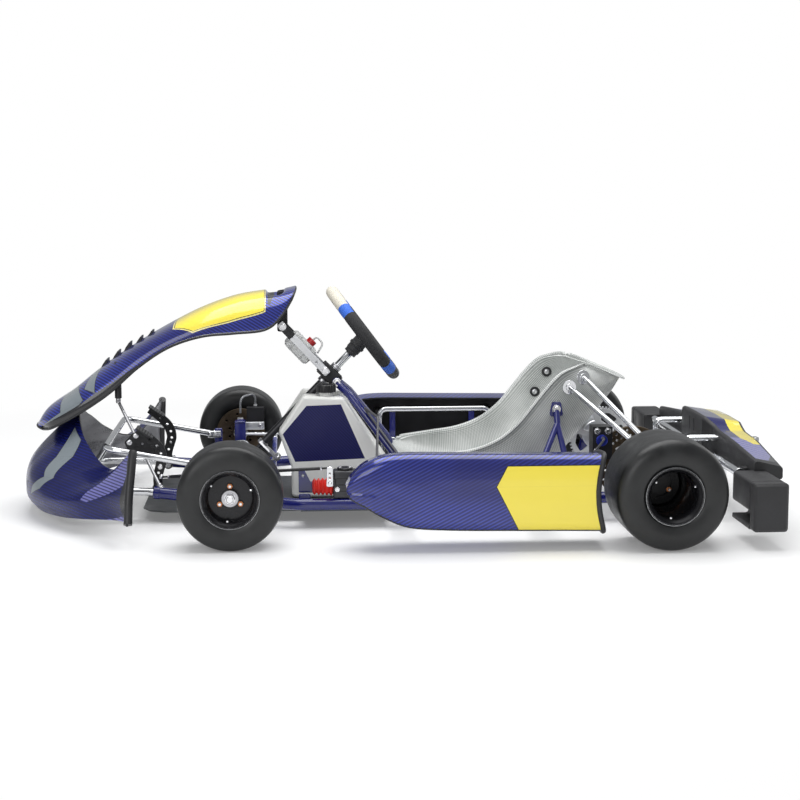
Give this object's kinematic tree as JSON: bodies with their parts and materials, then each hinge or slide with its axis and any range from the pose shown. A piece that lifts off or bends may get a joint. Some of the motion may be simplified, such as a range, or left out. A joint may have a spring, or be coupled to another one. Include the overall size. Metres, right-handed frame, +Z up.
{
  "type": "kart chassis",
  "caption": "Rolling kart chassis: tube frame with bodywork, bucket seat, steering, pedals, brakes, tank and slick-tyred wheels, no engine.",
  "frame": {"origin": "on the ground under the middle of the overall length and width", "axes": "+X to the back of the kart, -Y to the driver's left, +Z up"},
  "size_m": [1.9289, 1.3938, 0.593],
  "materials": {
    "blue_paint": "dark metallic blue gloss paint",
    "black_plastic": "satin",
    "chrome_steel": "polished",
    "grip_cover": "suede",
    "black_metal": "satin",
    "aluminium": "satin",
    "bronze_steel": "dark brushed",
    "tyre_rubber": "worn slick",
    "tray_sheet": "dull",
    "blue_bodywork": "dark blue glossy bodywork with fine diagonal stripes",
    "white_plastic": "translucent white",
    "seat_fibre": "silver woven fibre under clear resin"
  },
  "bodies": {
    "chassis": {"left_main_rail": "blue_paint", "right_main_rail": "blue_paint", "front_cross_tube": "blue_paint", "seat_cross_tube": "blue_paint", "rear_cross_tube": "blue_paint", "steering_support": "blue_paint", "column_bearing_block": "black_plastic", "left_axle_carrier": "aluminium", "right_axle_carrier": "aluminium", "rear_brake_caliper": "black_metal", "floor_tray": "tray_sheet", "front_bumper_upper_bar": "chrome_steel", "front_bumper_lower_bar": "chrome_steel", "nose_fairing": "blue_bodywork", "panel_mount_bars": "aluminium", "front_panel": "blue_bodywork", "panel_strut": "aluminium", "overflow_bottle": "white_plastic", "fuel_tank": "white_plastic", "left_side_bar": "chrome_steel", "left_side_pod": "blue_bodywork", "right_side_bar": "chrome_steel", "right_side_pod": "blue_bodywork", "seat_shell": "seat_fibre", "left_front_seat_strut": "chrome_steel", "left_rear_seat_strut": "chrome_steel", "right_seat_strut": "chrome_steel", "rear_bumper_bars": "chrome_steel", "rear_bumper": "black_plastic", "brake_pump": "aluminium", "rear_brake_hose": "black_plastic"},
    "steering": {"steering_column": "chrome_steel", "steering_boss": "black_metal", "steering_wheel": "grip_cover"},
    "left_knuckle": {"left_stub_axle": "aluminium", "left_front_caliper": "black_metal", "left_front_brake_hose": "black_plastic"},
    "right_knuckle": {"right_stub_axle": "aluminium", "right_front_caliper": "black_metal", "right_front_brake_hose": "black_plastic"},
    "left_tie_rod_body": {"left_tie_rod": "aluminium"},
    "right_tie_rod_body": {"right_tie_rod": "aluminium"},
    "left_front_wheel": {"left_front_hub": "bronze_steel", "left_front_rim": "black_metal", "left_front_tyre": "tyre_rubber"},
    "right_front_wheel": {"right_front_hub": "bronze_steel", "right_front_rim": "black_metal", "right_front_tyre": "tyre_rubber"},
    "rear_wheels": {"rear_axle": "chrome_steel", "left_rear_rim": "black_metal", "left_rear_tyre": "tyre_rubber", "right_rear_rim": "black_metal", "right_rear_tyre": "tyre_rubber", "rear_brake_disc": "bronze_steel", "sprocket": "aluminium"},
    "brake_pedal_body": {"brake_pedal": "black_metal"},
    "throttle_pedal_body": {"throttle_pedal": "black_metal"},
    "brake_rod_body": {"brake_rod": "aluminium"},
    "pump_lever_body": {"pump_lever": "chrome_steel"},
    "fuel_cap_body": {"fuel_cap": "black_plastic"}
  },
  "joints": [
    {"name": "steering_turn", "type": "hinge", "parent": "chassis", "child": "steering", "pos_m": [-0.0475, 0, 0.456], "axis": [0.6984, 0, 0.7157], "range_deg": [-55, 55]},
    {"name": "left_kingpin", "type": "hinge", "parent": "chassis", "child": "left_knuckle", "pos_m": [-0.4005, -0.42, 0.1267], "axis": [0, 0, 1], "range_deg": [-26, 26]},
    {"name": "right_kingpin", "type": "hinge", "parent": "chassis", "child": "right_knuckle", "pos_m": [-0.4005, 0.42, 0.1267], "axis": [0, 0, 1], "range_deg": [-26, 26]},
    {"name": "left_rod_end", "type": "hinge", "parent": "left_knuckle", "child": "left_tie_rod_body", "pos_m": [-0.29817, -0.409, 0.11895], "axis": [0, 0, 1], "range_deg": [-26, 26]},
    {"name": "right_rod_end", "type": "hinge", "parent": "right_knuckle", "child": "right_tie_rod_body", "pos_m": [-0.29817, 0.409, 0.11895], "axis": [0, 0, 1], "range_deg": [-26, 26]},
    {"name": "left_front_spin", "type": "hinge", "parent": "left_knuckle", "child": "left_front_wheel", "pos_m": [-0.4005, -0.547, 0.1267], "axis": [0, 1, 0], "continuous": true},
    {"name": "right_front_spin", "type": "hinge", "parent": "right_knuckle", "child": "right_front_wheel", "pos_m": [-0.4005, 0.547, 0.1267], "axis": [0, 1, 0], "continuous": true},
    {"name": "rear_axle_spin", "type": "hinge", "parent": "chassis", "child": "rear_wheels", "pos_m": [0.6445, 0, 0.13564], "axis": [0, 1, 0], "continuous": true},
    {"name": "brake_pedal_press", "type": "hinge", "parent": "chassis", "child": "brake_pedal_body", "pos_m": [-0.5995, -0.192, 0.077], "axis": [0, -1, 0], "range_deg": [0, 18], "stiffness_Nm_per_rad": 2, "springref_deg": -11.46},
    {"name": "throttle_pedal_press", "type": "hinge", "parent": "chassis", "child": "throttle_pedal_body", "pos_m": [-0.5995, 0.192, 0.077], "axis": [0, -1, 0], "range_deg": [0, 20], "stiffness_Nm_per_rad": 1, "springref_deg": -17.19},
    {"name": "brake_rod_slide", "type": "slide", "parent": "chassis", "child": "brake_rod_body", "axis": [-1, 0, 0], "range_m": [0, 0.011]},
    {"name": "pump_lever_turn", "type": "hinge", "parent": "chassis", "child": "pump_lever_body", "pos_m": [-0.1575, -0.3595, 0.118], "axis": [0, -1, 0], "range_deg": [0, 16]},
    {"name": "fuel_cap_turn", "type": "hinge", "parent": "chassis", "child": "fuel_cap_body", "pos_m": [-0.1575, -0.058, 0.322], "axis": [0, 0, 1], "range_deg": [0, 120]}
  ],
  "couplings": [
    {"joint": "left_kingpin", "follows": "steering_turn", "ratio": 0.47},
    {"joint": "right_kingpin", "follows": "steering_turn", "ratio": 0.47},
    {"joint": "left_rod_end", "follows": "steering_turn", "ratio": -0.47},
    {"joint": "right_rod_end", "follows": "steering_turn", "ratio": -0.47},
    {"joint": "brake_rod_slide", "follows": "brake_pedal_press", "m_per_rad": 0.035},
    {"joint": "pump_lever_turn", "follows": "brake_pedal_press", "ratio": 0.875}
  ]
}
